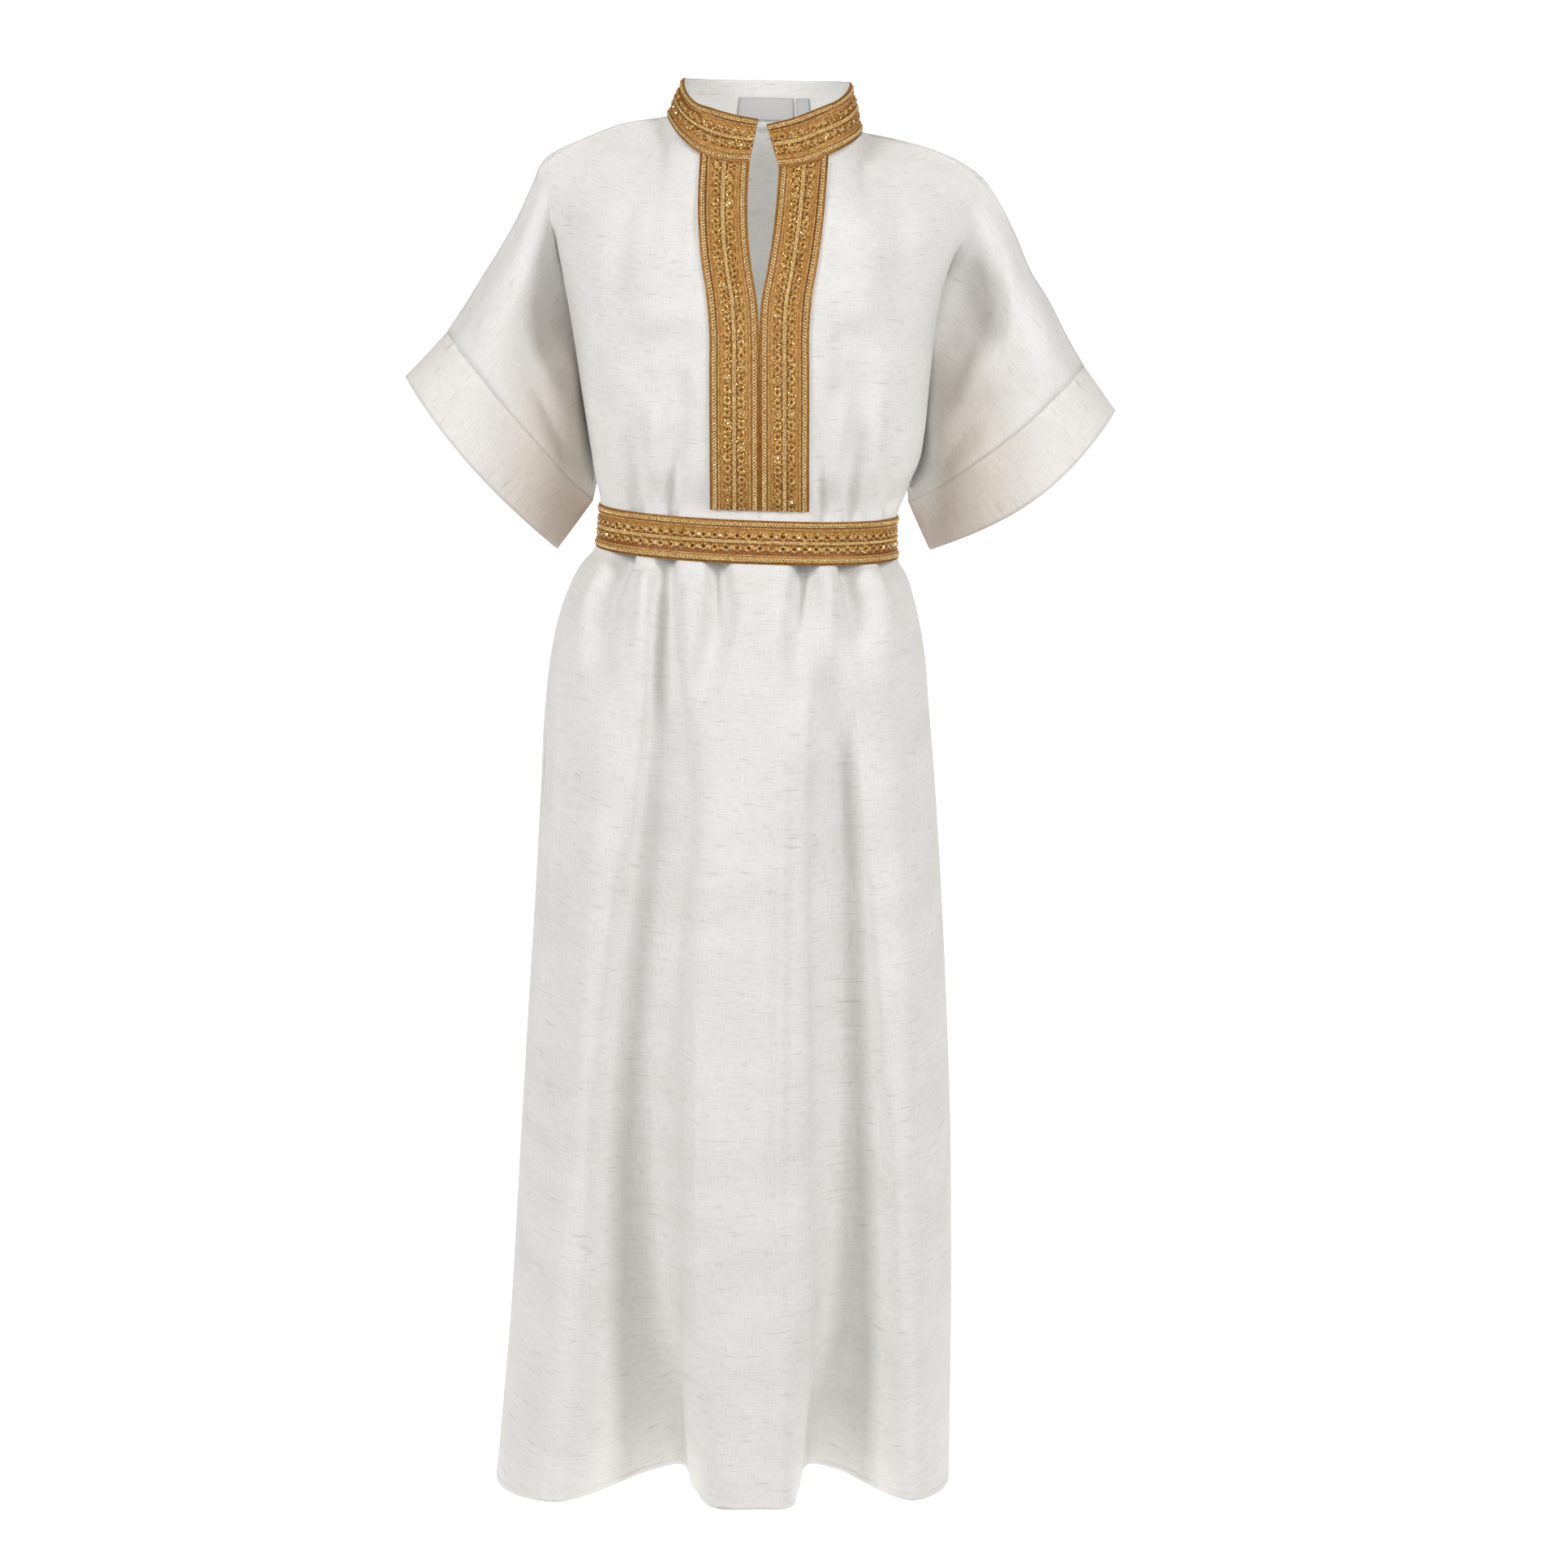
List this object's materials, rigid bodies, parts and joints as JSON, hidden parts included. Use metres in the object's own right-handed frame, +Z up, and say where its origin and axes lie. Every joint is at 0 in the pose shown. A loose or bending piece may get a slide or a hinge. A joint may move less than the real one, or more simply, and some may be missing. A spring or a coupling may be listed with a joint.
{
  "type": "kaftan",
  "caption": "Long loose kaftan with short wide sleeves cut in one with the body, a stand collar, a slit neckline edged with gold trim and a gold belt, hollow as worn.",
  "frame": {"origin": "the middle of the neck opening, at the height of the neck seam, where the wearer's neck and shoulders carry the garment", "axes": "+Z up, along the wearer's body; the front faces -Y; +X towards the wearer's left"},
  "size_m": [0.6906, 0.3259, 1.374],
  "materials": {
    "linen": "matt slub weave",
    "gold_trim": "metallic thread, plaited and beaded",
    "label_cloth": "smooth satin weave"
  },
  "bodies": {
    "root": {"front": "linen", "back": "linen", "cuff_right": "linen", "cuff_left": "linen", "collar": "linen", "collar_trim": "gold_trim", "placket_trim_right": "gold_trim", "placket_trim_left": "gold_trim", "belt": "gold_trim", "neck_label": "label_cloth", "neck_tab": "label_cloth"}
  },
  "joints": []
}
